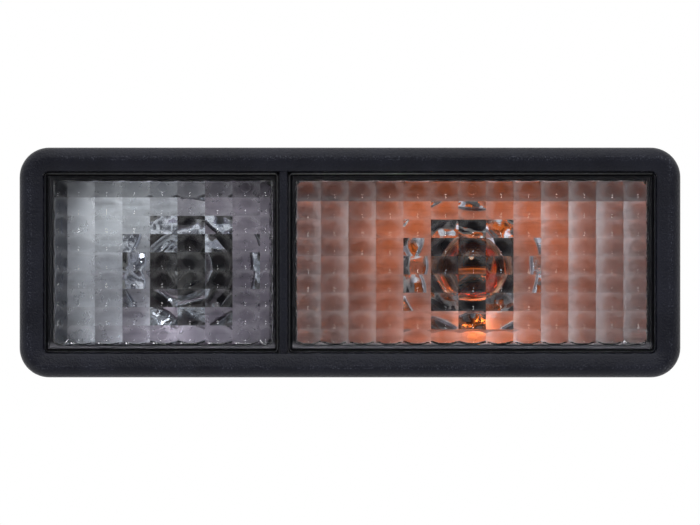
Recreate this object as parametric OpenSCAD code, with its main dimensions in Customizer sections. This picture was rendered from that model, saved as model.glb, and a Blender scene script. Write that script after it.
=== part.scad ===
// Rear bumper lamp for a car: a reversing lamp on the left and a turn indicator on the right
// behind two pillow-optic lenses in one grained black bezel.
// Each part is drawn with x to the right, y up and z out through the lens, then turned so that
// the lens looks along -Y. The plane z = 0 is the rear edge of the bezel that meets the bumper.

/* [Bezel] */
// width of the whole lamp
lamp_w = 240; // [160:0.5:320]
// height of the whole lamp
lamp_h = 83.5; // [60:0.5:120]
// radius of the outer corners of the bezel
corner_r = 10.8; // [10.6:0.1:16]
// width of the bezel band from its outer edge to the window
band_w = 8.7; // [8:0.1:9.2]
// how far the crest of the bezel stands out from the bumper
bezel_d = 15; // [13:0.1:20]
// radius of the rolled outer edge
roll_r = 4.2; // [3:0.1:5]
// fall of the band from its crest to the window
band_fall = 1.4; // [0.4:0.1:2]
// thickness of the bezel's outer wall
bezel_wall = 2.4; // [1.8:0.1:3]
// thickness of the wall round the window
lip_wall = 2.2; // [1.6:0.1:3]
// width of the bar between the two lenses
bar_w = 2.9; // [2:0.1:6]
// distance from the middle of the lamp to the middle of the bar, towards the left
bar_offset = 24.15; // [10:0.05:40]
// how far the bar lies below the edge of the window
bar_drop = 0.5; // [0:0.1:2]
// depth of the catches that hold the housing in the bezel
catch_d = 0.9; // [0.5:0.1:1.1]
// length of a catch
catch_w = 8; // [4:0.5:12]
// distance from the end of the lamp to its first catch
catch_in = 40; // [20:1:50]
// distance of the middle catches from the middle of the lamp
catch_mid = 27; // [10:1:40]

/* [Lenses] */
// gap between a lens and its window
lens_gap = 0.25; // [0.1:0.05:0.6]
// how far the lens face lies behind the edge of the window
lens_sink = 1.2; // [0:0.1:3]
// thickness of the lens face
lens_t = 2.4; // [1.8:0.1:4]
// thickness of the skirt round each lens
skirt_t = 1.4; // [1:0.1:2]
// radius of the lens's front edge
lens_edge_r = 0.8; // [0.3:0.1:1.2]
// width of one pillow
pillow_w = 10; // [6:0.05:14]
// height of one pillow
pillow_h = 6.65; // [4:0.05:10]
// radius of the pillow's curved face
pillow_r = 14; // [10:0.5:30]
// how far a pillow stands out from the back of the lens
pillow_rise = 1.3; // [0.6:0.05:1.6]
// half the height of the pillow field
field_half_h = 29.9; // [20:0.1:31]
// margin from the outer edge of the reversing lens to its pillows
left_margin = 3.3; // [2.8:0.1:6]
// margin from the inner edge of the reversing lens to its pillows
left_bar_margin = 2.2; // [2:0.1:5]
// margin from the inner edge of the indicator lens to its pillows
right_bar_margin = 2.8; // [2:0.1:5]
// margin from the outer edge of the indicator lens to its pillows
right_margin = 2.9; // [2.8:0.1:6]
// first column line of the reversing lens from its outer edge
left_col_in = 8.35; // [4:0.05:14]
// first row line of the reversing lens above the foot of its field
left_row_up = 7; // [2:0.05:7]
// first column line of the indicator lens from its inner edge
right_col_in = 11.85; // [4:0.05:14]
// first row line of the indicator lens above the foot of its field
right_row_up = 5.6; // [2:0.05:7]

/* [Housing] */
// thickness of the housing walls
tub_wall = 2.2; // [1.6:0.1:3]
// distance from the back of the housing flange to the bumper plane
flange_z = 1.2; // [0.8:0.1:2]
// thickness of the housing flange
flange_t = 3.3; // [2.5:0.1:4]
// height of the groove walls above the bumper plane
groove_top = 6.5; // [6:0.1:7.5]
// depth of the groove that takes the lens skirt
groove_d = 3.5; // [2:0.1:4]
// thickness of the wall between groove and chamber
groove_wall = 0.9; // [0.8:0.1:1.5]
// clearance between parts that slide together
slip = 0.2; // [0.05:0.05:0.4]
// radius of the inner corners of the chambers
chamber_r = 3; // [1:0.1:6]
// thickness of the stiffening ribs on the back
rib_t = 2; // [1.2:0.1:3]
// height of the ribs over the domes
rib_h = 2; // [1:0.5:4]
// gap between the housing flange and the bezel's outer wall
flange_gap = 0.4; // [0.2:0.1:0.8]
// outer radius of the collar round each holder opening
collar_r = 26.5; // [25.5:0.1:28]

/* [Reflectors and bulbs] */
// focal length of both reflectors
focal = 32; // [26:0.5:40]
// thickness of the reflectors
mirror_t = 1.2; // [0.8:0.1:2]
// distance of the filaments behind the bumper plane
filament_depth = 6; // [4:0.5:10]
// middle of the reversing bulb from the middle of the lamp
left_bulb_x = -62; // [-70:0.5:-55]
// middle of the indicator bulb from the middle of the lamp
right_bulb_x = 45; // [35:0.5:55]
// height of both bulbs above the middle of the lamp
bulb_y = -2; // [-5:0.5:5]
// radius of the opening at the back of the reflector
bulb_hole_r = 15; // [14:0.5:16]
// width of the shining funnel that leads from the dish to the opening
funnel_w = 6.4; // [3:0.1:6.6]
// depth of the funnel
funnel_d = 3.2; // [2:0.1:5.8]
// space between the reflector's dish and the housing behind it
dish_space = 1.6; // [1:0.1:3]
// radius of the bulb glass
glass_r = 12.5; // [11:0.1:13]
// thickness of the bulb glass
glass_t = 0.6; // [0.5:0.1:1.2]
// radius of the bulb cap
cap_r = 7.5; // [7:0.1:8]
// distance from the filament back to the bayonet pins
light_length = 31.8; // [30:0.1:33]

/* [Holders] */
// wall of the holder's cup round the bulb cap
cup_wall = 2.4; // [1.8:0.1:3]
// radius of the holder's flange
holder_r = 17; // [15.5:0.5:20]
// thickness of the seals
seal_t = 1; // [0.6:0.1:1.5]
// how far the holder's lugs reach past its opening
lug_d = 2.6; // [1.5:0.1:3]
// width of a lug
lug_w = 6; // [4:0.5:8]
// thickness of a lug
lug_t = 1.4; // [1:0.1:2]
// width of the connector socket inside
socket_w = 13; // [11:0.5:18]
// height of the connector socket inside
socket_h = 6.6; // [6:0.1:9]
// depth of the connector socket
socket_d = 11; // [8:0.5:16]
// wall of the connector socket
socket_wall = 1.5; // [1:0.1:2.5]
// width of a terminal blade
blade_w = 2.8; // [2:0.1:6.3]
// thickness of a terminal blade
blade_t = 0.8; // [0.5:0.1:1]
// clearance round a blade in its slot
blade_gap = 0.05; // [0.02:0.01:0.1]
// clearance between the bulb cap and the holder's cup
cap_gap = 0.4; // [0.2:0.1:0.8]

/* [Fixings] */
// radius of the two fixing studs
stud_r = 2; // [1.5:0.25:2]
// radius of the neck by which a stud is pressed into the flange
neck_r = 2.2; // [2.1:0.05:2.3]
// distance from the end of the lamp to a stud
stud_in = 5.6; // [5.5:0.1:5.8]
// length of a stud behind the bumper plane
stud_len = 20; // [10:1:40]
// width, height and thickness of a stud's head
head_w = 5; // [4.8:0.1:5.2]
head_h = 10; // [6:0.5:14]
head_t = 1.6; // [1:0.1:1.8]
// gap round a stud's neck in the gasket
gasket_gap = 0.1; // [0.05:0.05:0.2]
// radius of the breather nozzle
vent_r = 3; // [2:0.5:5]
// distance of the breather from the right-hand edge of the window
vent_in = 25.3; // [15:0.1:35]
// height of the breather above the middle of the lamp
vent_y = 16; // [5:1:20]

/* [Hidden] */

black = [0.07, 0.075, 0.085];
dark = [0.05, 0.05, 0.055];
clear = [0.86, 0.9, 0.92, 0.35];
silver = [0.78, 0.79, 0.8];
amber = [0.95, 0.45, 0.08, 0.55];
brass = [0.75, 0.62, 0.32];
steel = [0.62, 0.64, 0.66];
rubber = [0.12, 0.12, 0.12];

lip_r = corner_r - band_w;
window_z = bezel_d - band_fall;
lens_z = window_z - lens_sink;
lens_back = lens_z - lens_t;
lens_r = lip_r - lens_gap;
skirt_z = groove_top - groove_d + seal_t;
lens_half_h = lamp_h / 2 - band_w - lens_gap;
window_left = -lamp_w / 2 + band_w;
window_right = lamp_w / 2 - band_w;
bar_x0 = -bar_offset - bar_w / 2;
bar_x1 = -bar_offset + bar_w / 2;
// left and right edge of each lens
left_x0 = window_left + lens_gap;
left_x1 = bar_x0 - lens_gap;
right_x0 = bar_x1 + lens_gap;
right_x1 = window_right - lens_gap;
// ends of the two pillow fields and their first lines
left_f0 = left_x0 + left_margin;
left_f1 = left_x1 - left_bar_margin;
right_f0 = right_x0 + right_bar_margin;
right_f1 = right_x1 - right_margin;
left_col = left_x0 + left_col_in;
right_col = right_x0 + right_col_in;
left_row = -field_half_h + left_row_up;
right_row = -field_half_h + right_row_up;
// distance from the edge of a lens to the chamber wall
inset = skirt_t + slip + groove_wall;
chamber_half_h = lens_half_h - inset;
mirror_gap = slip;
vertex_z = -filament_depth - focal;
back_in = vertex_z - mirror_t - dish_space - 0.2;
back_z = back_in - tub_wall;
// the funnel starts where the dish reaches this radius
funnel_r = bulb_hole_r + funnel_w;
funnel_z = dish(funnel_r) - funnel_d;
pins_z = -filament_depth - light_length;
cup_in_r = cap_r + cap_gap;
cup_r = cup_in_r + cup_wall;
holder_hole_r = cup_r + 0.5;
lug_r = holder_hole_r + lug_d;
flange_face = back_z - seal_t;
flange_back = flange_face - 2.6;
body_back = flange_back - socket_h - 2 * socket_wall;
cap_back = pins_z - 9;
// floor of the holder's cup, and the middle plane of its blades
cup_floor = cap_back - 2.4;
blade_z = body_back + socket_wall + socket_h / 2;
blade_x = 3.2;
// depth of the housing's inner and outer face below the dish
tub_drop = mirror_t + dish_space;
shell_drop = tub_drop + tub_wall;
// farthest that a dish can reach from its bulb
dish_reach = lamp_w / 2 + max(left_bulb_x, -right_bulb_x) + 1;
vent_x = window_right - vent_in;
vent_back = dish(norm([vent_x - right_bulb_x, vent_y - bulb_y])) - shell_drop - 9.5;
stud_x = lamp_w / 2 - stud_in;
head_z = flange_z + flange_gap;

// turns a part from its drawing position so that z looks along -Y
module facing() {
    rotate([90, 0, 0])
        children();
}

module rounded_rect(x0, x1, y0, y1, r) {
    translate([x0 + r, y0])
        square([x1 - x0 - 2 * r, y1 - y0]);
    translate([x0, y0 + r])
        square([x1 - x0, y1 - y0 - 2 * r]);
    for (x = [x0 + r, x1 - r], y = [y0 + r, y1 - r])
        translate([x, y])
            circle(r, $fn = 64);
}

// sweeps a section round a rounded rectangle; the section's x runs outwards from the corner centre
module swept_frame(x0, x1, y0, y1, r) {
    cx = (x0 + x1) / 2;
    cy = (y0 + y1) / 2;
    half_w = (x1 - x0) / 2 - r;
    half_h = (y1 - y0) / 2 - r;
    translate([cx, cy, 0]) {
        for (a = [0, 180]) {
            rotate([0, 0, a])
                translate([-half_w, half_h, 0])
                    rotate([90, 0, 90])
                        linear_extrude(2 * half_w)
                            children();
            rotate([0, 0, a + 90])
                translate([-half_h, half_w, 0])
                    rotate([90, 0, 90])
                        linear_extrude(2 * half_h)
                            children();
            rotate([0, 0, a])
                translate([half_w, half_h, 0])
                    rotate_extrude(angle = 90, $fn = 96)
                        children();
            rotate([0, 0, a + 90])
                translate([half_h, half_w, 0])
                    rotate_extrude(angle = 90, $fn = 96)
                        children();
        }
    }
}

// rolled outer edge, sloping band and the wall round the window
module bezel_section() {
    difference() {
        union() {
            translate([corner_r - roll_r, 0])
                square([roll_r, bezel_d - roll_r]);
            translate([corner_r - roll_r, bezel_d - roll_r])
                intersection() {
                    circle(roll_r, $fn = 96);
                    square(roll_r);
                }
            polygon([[lip_r, groove_top + slip], [corner_r - roll_r, groove_top + slip],
                [corner_r - roll_r, bezel_d], [lip_r, window_z]]);
        }
        translate([lip_r + lip_wall, -1])
            square([corner_r - bezel_wall - lip_r - lip_wall, bezel_d - 2.6 + 1]);
    }
}

module bezel() {
    color(black)
    facing() {
        swept_frame(-lamp_w / 2, lamp_w / 2, -lamp_h / 2, lamp_h / 2, corner_r)
            bezel_section();
        // bar between the lenses, with its edges broken
        translate([-bar_offset, 0, 0])
            rotate([90, 0, 0])
                translate([0, 0, -lamp_h / 2 + band_w - 0.4])
                    linear_extrude(lamp_h - 2 * band_w + 0.8)
                        polygon([[-bar_w / 2, groove_top + slip], [bar_w / 2, groove_top + slip],
                            [bar_w / 2, window_z - bar_drop - 0.5], [bar_w / 2 - 0.4, window_z - bar_drop],
                            [-bar_w / 2 + 1, window_z - bar_drop], [-bar_w / 2, window_z - bar_drop - 0.8]]);
        // catches under the housing flange
        catch_x = lamp_w / 2 - catch_in;
        catch_y = lamp_h / 2 - bezel_wall - catch_d;
        for (x = [-catch_x, -catch_mid, catch_mid, catch_x], a = [0, 180])
            translate([x, 0, 0.2])
                rotate([0, 0, a])
                    translate([-catch_w / 2, catch_y, 0])
                        cube([catch_w, catch_d + 0.3, flange_z - 0.3]);
    }
}

// skirt and rounded front edge of a lens
module lens_section() {
    translate([lens_r - skirt_t, skirt_z])
        square([skirt_t, lens_z - lens_edge_r - skirt_z]);
    translate([lens_r - skirt_t, lens_z - lens_edge_r])
        square([skirt_t - lens_edge_r, lens_edge_r]);
    translate([lens_r - lens_edge_r, lens_z - lens_edge_r])
        intersection() {
            circle(lens_edge_r, $fn = 48);
            square(lens_edge_r);
        }
}

// one pillow cut to its own place in the grid
module pillow(cx, cy, x0, x1, y0, y1) {
    intersection() {
        translate([cx, cy, lens_back - pillow_rise + pillow_r])
            sphere(pillow_r, $fn = 96);
        translate([x0, y0, lens_back - 2])
            cube([x1 - x0, y1 - y0, 2.6]);
    }
}

// a lens from edge to edge with its field of pillows between f0 and f1
module lens(x0, x1, f0, f1, col, row) {
    swept_frame(x0, x1, -lens_half_h, lens_half_h, lens_r)
        lens_section();
    translate([0, 0, lens_back])
        linear_extrude(lens_t)
            rounded_rect(x0 + skirt_t, x1 - skirt_t, -lens_half_h + skirt_t, lens_half_h - skirt_t,
                lens_r - skirt_t);
    cols = ceil((f1 - col) / pillow_w);
    rows = ceil((field_half_h - row) / pillow_h);
    for (i = [0:cols], j = [0:rows]) {
        cx0 = col + (i - 1) * pillow_w;
        cy0 = row + (j - 1) * pillow_h;
        a0 = max(cx0, f0);
        a1 = min(cx0 + pillow_w, f1);
        b0 = max(cy0, -field_half_h);
        b1 = min(cy0 + pillow_h, field_half_h);
        // a column or row that is cut short keeps a pillow of its own in the middle
        if (a1 - a0 > 1 && b1 - b0 > 1)
            pillow((a0 + a1) / 2, (b0 + b1) / 2, a0, a1, b0, b1);
    }
}

module reversing_lens() {
    color(clear)
    facing()
        lens(left_x0, left_x1, left_f0, left_f1, left_col, left_row);
}

module indicator_lens() {
    color(clear)
    facing()
        lens(right_x0, right_x1, right_f0, right_f1, right_col, right_row);
}

// flat ring that follows the skirt of a lens
module skirt_ring(x0, x1, grow, z0, z1) {
    translate([0, 0, z0])
        linear_extrude(z1 - z0)
            difference() {
                rounded_rect(x0 - grow, x1 + grow, -lens_half_h - grow, lens_half_h + grow, lens_r + grow);
                rounded_rect(x0 + skirt_t + grow, x1 - skirt_t - grow, -lens_half_h + skirt_t + grow,
                    lens_half_h - skirt_t - grow, lens_r - skirt_t - grow);
            }
}

module lens_seal() {
    color(rubber)
    facing() {
        skirt_ring(left_x0, left_x1, 0, skirt_z - seal_t, skirt_z);
        skirt_ring(right_x0, right_x1, 0, skirt_z - seal_t, skirt_z);
    }
}

// depth of the reflector's shining face at distance r from the bulb
function dish(r) = vertex_z + r * r / (4 * focal);

// everything in front of a dish face that is lowered by drop
module dish_room(drop, z1, r_max) {
    steps = 14;
    top = max(z1, dish(r_max) - drop + 0.1);
    rotate_extrude($fn = 128)
        polygon(concat([for (i = [0:steps]) [r_max * i / steps, dish(r_max * i / steps) - drop]],
            [[r_max, top], [0, top]]));
}

module chamber_box(x0, x1, half_h, r, z0, z1) {
    translate([0, 0, z0])
        linear_extrude(z1 - z0)
            rounded_rect(x0, x1, -half_h, half_h, r);
}

module housing_chamber_out(x0, x1, bulb_x) {
    intersection() {
        chamber_box(x0 + inset - tub_wall, x1 - inset + tub_wall, chamber_half_h + tub_wall,
            chamber_r + tub_wall, back_z - 1, flange_z + 0.5);
        translate([bulb_x, bulb_y, 0])
            union() {
                dish_room(shell_drop, flange_z + 1, dish_reach);
                translate([0, 0, back_z])
                    cylinder(h = 20, r = collar_r, $fn = 128);
            }
    }
}

module housing_chamber_in(x0, x1, bulb_x) {
    intersection() {
        chamber_box(x0 + inset, x1 - inset, chamber_half_h, chamber_r, back_z - 1, groove_top + 1);
        translate([bulb_x, bulb_y, 0])
            union() {
                dish_room(tub_drop, groove_top + 2, dish_reach + 2);
                translate([0, 0, back_in])
                    cylinder(h = 20, r = collar_r - tub_wall, $fn = 128);
            }
    }
}

// opening for a holder, with three notches for its lugs
module holder_opening(bulb_x) {
    translate([bulb_x, bulb_y, back_z - 1]) {
        cylinder(h = tub_wall + 2, r = holder_hole_r, $fn = 96);
        for (a = [90, 210, 330])
            rotate([0, 0, a])
                translate([0, -lug_w / 2 - slip, 0])
                    cube([lug_r + 0.3, lug_w + 2 * slip, tub_wall + 2]);
    }
}

// thin rib that follows the dome across a chamber
module dome_rib(bulb_x, y) {
    x0 = bulb_x < 0 ? left_x0 : right_x0;
    x1 = bulb_x < 0 ? left_x1 : right_x1;
    intersection() {
        translate([x0 + inset - tub_wall + 2, y - rib_t / 2, back_z + 0.5])
            cube([x1 - x0 - 2 * inset + 2 * tub_wall - 4, rib_t, 45]);
        translate([bulb_x, bulb_y, 0])
            dish_room(shell_drop + rib_h, flange_z + 1, dish_reach);
    }
}

// outline that fills the bezel up to a gap from its outer wall
module inside_bezel(gap) {
    half_w = lamp_w / 2 - bezel_wall - gap;
    half_h = lamp_h / 2 - bezel_wall - gap;
    rounded_rect(-half_w, half_w, -half_h, half_h, corner_r - bezel_wall - gap);
}

module housing() {
    color(dark)
    facing()
    difference() {
        union() {
            translate([0, 0, flange_z])
                linear_extrude(flange_t)
                    inside_bezel(flange_gap);
            translate([0, 0, flange_z + 1])
                linear_extrude(groove_top - flange_z - 1)
                    inside_bezel(band_w - bezel_wall - lip_wall + slip);
            housing_chamber_out(left_x0, left_x1, left_bulb_x);
            housing_chamber_out(right_x0, right_x1, right_bulb_x);
            // ribs across the gap between the two chambers
            for (y = [-24, -8, 8, 24])
                translate([-bar_offset - 5, y - rib_t / 2, -12])
                    cube([10, rib_t, 14]);
            // two ribs over each dome
            for (x = [left_bulb_x, right_bulb_x], y = [-15, 15])
                dome_rib(x, bulb_y + y);
            // breather nozzle on the indicator dome
            translate([vent_x, vent_y, vent_back])
                cylinder(h = 12, r = vent_r, $fn = 64);
            // stop ribs beside each holder
            for (x = [left_bulb_x, right_bulb_x], a = [60, 240])
                translate([x, bulb_y, back_z - 1.6])
                    rotate([0, 0, a])
                        translate([holder_r + 1.2, -rib_t / 2, 0])
                            cube([4, rib_t, 3]);
        }
        housing_chamber_in(left_x0, left_x1, left_bulb_x);
        housing_chamber_in(right_x0, right_x1, right_bulb_x);
        skirt_ring(left_x0, left_x1, 0.1, groove_top - groove_d, groove_top + 1);
        skirt_ring(right_x0, right_x1, 0.1, groove_top - groove_d, groove_top + 1);
        holder_opening(left_bulb_x);
        holder_opening(right_bulb_x);
        // bore of the breather, which opens into the indicator chamber
        translate([vent_x, vent_y, vent_back - 1])
            cylinder(h = 15, r = vent_r - 1.2, $fn = 64);
        // seats of the stud heads and the bores of their necks
        for (s = [-1, 1])
            translate([s * stud_x, 0, 0]) {
                cylinder(h = head_z + 0.5, r = neck_r, $fn = 64);
                stud_head();
            }
    }
}

// oblong head that keeps a stud from turning
module stud_head() {
    translate([-head_w / 2, -head_h / 2, head_z])
        cube([head_w, head_h, head_t]);
}

// a dish cut to the chamber, with side walls, a rim and a ring that stands on the housing's floor
module reflector(x0, x1, f0, f1, bulb_x) {
    o0 = x0 + inset + mirror_gap;
    o1 = x1 - inset - mirror_gap;
    o_half = chamber_half_h - mirror_gap;
    difference() {
        union() {
            intersection() {
                chamber_box(o0, o1, o_half, chamber_r - mirror_gap, back_in, groove_top - 0.1);
                translate([bulb_x, bulb_y, 0])
                    union() {
                        dish_room(mirror_t, groove_top, dish_reach);
                        translate([0, 0, back_in])
                            cylinder(h = 8, r = funnel_r + mirror_t, $fn = 96);
                    }
            }
            // rim that stands up round the field of pillows
            translate([0, 0, groove_top])
                linear_extrude(0.8)
                    rounded_rect(f0, f1, -field_half_h, field_half_h, chamber_r);
            chamber_box(o0, o1, o_half - 0.3, chamber_r - mirror_gap, groove_top - 0.5, groove_top + 0.3);
        }
        intersection() {
            chamber_box(o0 + mirror_t * 0.75, o1 - mirror_t * 0.75, o_half - mirror_t * 0.75,
                chamber_r - mirror_gap - mirror_t * 0.75, vertex_z - 1, groove_top + 2);
            translate([bulb_x, bulb_y, 0])
                dish_room(0, groove_top + 3, dish_reach);
        }
        // funnel and bulb opening
        translate([bulb_x, bulb_y, 0])
            rotate_extrude($fn = 96)
                polygon([[0, back_in - 1], [bulb_hole_r, back_in - 1], [bulb_hole_r, funnel_z],
                    [funnel_r + 1, funnel_z + funnel_d * (1 + 1 / funnel_w)],
                    [0, funnel_z + funnel_d * (1 + 1 / funnel_w)]]);
    }
}

module reversing_reflector() {
    color(silver)
    facing()
        reflector(left_x0, left_x1, left_f0, left_f1, left_bulb_x);
}

module indicator_reflector() {
    color(silver)
    facing()
        reflector(right_x0, right_x1, right_f0, right_f1, right_bulb_x);
}

// blown glass: a ball that runs through a shoulder into the neck inside the cap
module glass_outline(shrink) {
    neck_z = pins_z + 9;
    intersection() {
        union() {
            translate([0, -filament_depth])
                circle(glass_r - shrink, $fn = 96);
            polygon([[0, neck_z], [cap_r - 0.6 - shrink, neck_z],
                [cap_r - 0.6 - shrink, neck_z + 4],
                [glass_r * 0.93 - shrink, -filament_depth - glass_r * 0.37],
                [0, -filament_depth]]);
            translate([0, neck_z - 4])
                square([cap_r - 0.6 - shrink, 8]);
        }
        translate([0, neck_z - 4 + shrink])
            square([20, 60]);
    }
}

module bulb_glass() {
    facing()
        rotate_extrude($fn = 96)
            difference() {
                glass_outline(0);
                glass_outline(glass_t);
            }
}

module bulb_cap() {
    color(brass)
    facing() {
        difference() {
            translate([0, 0, cap_back + 1.4])
                cylinder(h = pins_z + 9.4 - cap_back - 1.4, r = cap_r, $fn = 96);
            translate([0, 0, cap_back + 2.2])
                cylinder(h = 40, r = cap_r - 0.5, $fn = 96);
            translate([0, 0, cap_back])
                cylinder(h = 5, r = 4.6, $fn = 64);
        }
        // bayonet pins
        for (s = [0, 180])
            rotate([0, 0, s])
                translate([cap_r - 0.4, 0, pins_z])
                    rotate([0, 90, 0])
                        cylinder(h = 1.8, r = 1, $fn = 48);
    }
}

module filament() {
    color(steel)
    facing() {
        // glass foot that carries the wires
        translate([0, 0, pins_z + 5.9])
            cylinder(h = 12, r1 = 4.2, r2 = 2.2, $fn = 64);
        for (s = [-1, 1])
            translate([s * 1.8, 0, pins_z + 17])
                rotate([0, s * 7.5, 0])
                    cylinder(h = light_length - 17.5, r = 0.35, $fn = 24);
        translate([-4, 0, -filament_depth])
            rotate([0, 90, 0])
                cylinder(h = 8, r = 0.8, $fn = 48);
    }
}

module base_contact() {
    color(dark)
    facing() {
        translate([0, 0, cap_back + 0.8])
            cylinder(h = 2.6, r = 4.6, $fn = 64);
        translate([0, 0, cap_back])
            cylinder(h = 1.2, r = 2.6, $fn = 64);
    }
}

// moves a bulb part to the reversing or the indicator bulb
module at_bulb(x) {
    translate([x, 0, bulb_y])
        children();
}

// bent track for one bayonet pin: down from the mouth, round, and up into its rest
module pin_track() {
    reach = cap_r + 2;
    foot = pins_z - 2.2;
    translate([0, 0, foot])
        linear_extrude(2.4) {
            difference() {
                circle(reach, $fn = 96);
                circle(cap_r - 1, $fn = 96);
                rotate([0, 0, -30])
                    translate([-20, -40])
                        square([40, 40]);
                translate([-20, 0])
                    square([40, 40]);
            }
            rotate([0, 0, -30])
                translate([0, -1.3])
                    square([reach, 2.6]);
            translate([0, -1.2])
                square([reach, 2.4]);
        }
    rotate([0, 0, -30])
        translate([0, -1.2, foot + 1])
            cube([reach - 0.2, 2.4, 18]);
    translate([0, -1.1, foot + 1])
        cube([reach - 0.2, 2.2, 2.25]);
}

module holder() {
    color(black)
    facing()
    difference() {
        union() {
            translate([0, 0, body_back])
                cylinder(h = pins_z + 4 - body_back, r = cup_r, $fn = 96);
            translate([0, 0, flange_back])
                cylinder(h = flange_face - flange_back, r = holder_r, $fn = 128);
            translate([0, 0, body_back])
                cylinder(h = flange_back - body_back + 0.5, r = holder_r - 4, $fn = 96);
            // lugs that turn in behind the housing wall
            for (a = [120, 240, 0])
                rotate([0, 0, a])
                    intersection() {
                        translate([0, -lug_w / 2, back_in + 0.1])
                            cube([lug_r + 2, lug_w, lug_t]);
                        translate([0, 0, back_in])
                            cylinder(h = 3, r = lug_r, $fn = 96);
                    }
            // grip ribs round the back
            for (a = [0:30:330])
                if (a < 240 || a > 300)
                    rotate([0, 0, a])
                        translate([holder_r - 4.4, -0.8, body_back])
                            cube([1.6, 1.6, flange_back - body_back + 0.2]);
            // connector shroud that points down
            translate([-socket_w / 2 - socket_wall, -holder_r - socket_d + 3, body_back])
                cube([socket_w + 2 * socket_wall, socket_d + 9, socket_h + 2 * socket_wall]);
        }
        // room for the bulb cap
        translate([0, 0, cup_floor])
            cylinder(h = 40, r = cup_in_r, $fn = 96);
        pin_track();
        rotate([0, 0, 180])
            pin_track();
        // socket for the plug
        translate([-socket_w / 2, -holder_r - socket_d + 2, body_back + socket_wall])
            cube([socket_w, socket_d + 1, socket_h]);
        // slots for the blades and for the tabs that turn up from them
        for (s = [-1, 1]) {
            slot_w = blade_w + 2 * blade_gap;
            slot_t = blade_t + 2 * blade_gap;
            translate([s * blade_x - slot_w / 2, -holder_r, blade_z - slot_t / 2])
                cube([slot_w, holder_r + blade_end(s) + blade_gap, slot_t]);
            translate([s * blade_x - slot_w / 2, blade_end(s) - blade_t - blade_gap, blade_z - blade_t / 2])
                cube([slot_w, slot_t, cup_floor - blade_z + 1]);
        }
    }
}

// leaf springs under the bulb: one for the foot contact and one against the rim of the cap
module contacts() {
    color(brass)
    facing() {
        foot_z = cap_back;
        rim_z = cap_back + 1.4;
        translate([-2.2, -2.2, cup_floor])
            cube([4.4, 4.4, 0.4]);
        translate([-2.2, 1.6, cup_floor])
            cube([4.4, 0.6, foot_z - cup_floor - 0.5]);
        translate([-1.4, -1.4, foot_z - 1])
            cube([2.8, 3.4, 0.5]);
        translate([0, 0, foot_z - 0.6])
            cylinder(h = 0.6, r = 1.2, $fn = 32);
        translate([-blade_x - 1.4, -6.2, cup_floor])
            cube([2.8, 2.6, 0.4]);
        translate([-blade_x - 1.4, -4, cup_floor])
            cube([2.8, 0.4, rim_z - cup_floor - 0.7]);
        translate([-blade_x - 1.4, -6.2, rim_z - 1.2])
            cube([2.8, 2.6, 0.5]);
        translate([-blade_x, -5.2, rim_z - 0.8])
            cylinder(h = 0.8, r = 0.8, $fn = 32);
    }
}

// inner end of a blade: the live one runs to the middle, the earth one stops under the rim
function blade_end(s) = s > 0 ? 1.6 : -4.2;

// blades that run from the plug socket into the holder
module terminals() {
    tip = -holder_r - socket_d + 7;
    color(brass)
    facing()
        for (s = [-1, 1]) {
            translate([s * blade_x - blade_w / 2, tip, blade_z - blade_t / 2])
                cube([blade_w, blade_end(s) - tip, blade_t]);
            translate([s * blade_x - blade_w / 2, blade_end(s) - blade_t, blade_z - blade_t / 2])
                cube([blade_w, blade_t, cup_floor - blade_z + blade_t / 2]);
        }
}

module holder_seal() {
    color(rubber)
    facing()
        translate([0, 0, flange_face])
            linear_extrude(seal_t)
                difference() {
                    circle(holder_r - 0.6, $fn = 96);
                    circle(lug_r + 0.4, $fn = 96);
                }
}

module mounting_gasket() {
    color(rubber)
    facing()
        linear_extrude(flange_z)
            difference() {
                union() {
                    inside_bezel(flange_gap + catch_d);
                    // ears round the studs
                    intersection() {
                        inside_bezel(flange_gap);
                        for (s = [-1, 1])
                            translate([s * stud_x - head_h / 2, -head_h / 2])
                                square([head_h, head_h]);
                    }
                }
                rounded_rect(window_left, window_right, -lens_half_h - 0.6, lens_half_h + 0.6, lens_r + 0.6);
                for (s = [-1, 1])
                    translate([s * stud_x, 0])
                        circle(neck_r + gasket_gap, $fn = 48);
            }
}

module fixing_studs() {
    color(steel)
    facing()
        for (s = [-1, 1])
            translate([s * stud_x, 0, 0]) {
                stud_head();
                cylinder(h = head_z + 0.5, r = neck_r, $fn = 64);
                translate([0, 0, -stud_len + 0.8])
                    cylinder(h = stud_len, r = stud_r, $fn = 64);
                translate([0, 0, -stud_len])
                    cylinder(h = 0.8, r1 = stud_r - 0.6, r2 = stud_r, $fn = 64);
            }
}

module vent_cap() {
    color(rubber)
    facing()
        translate([vent_x, vent_y, vent_back])
            difference() {
                translate([0, 0, -1.6])
                    cylinder(h = 5, r = vent_r + 1.2, $fn = 64);
                cylinder(h = 8, r = vent_r, $fn = 64);
            }
}

module reversing_bulb_glass() {
    color(clear)
        at_bulb(left_bulb_x)
            bulb_glass();
}

module indicator_bulb_glass() {
    color(amber)
        at_bulb(right_bulb_x)
            bulb_glass();
}

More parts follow.
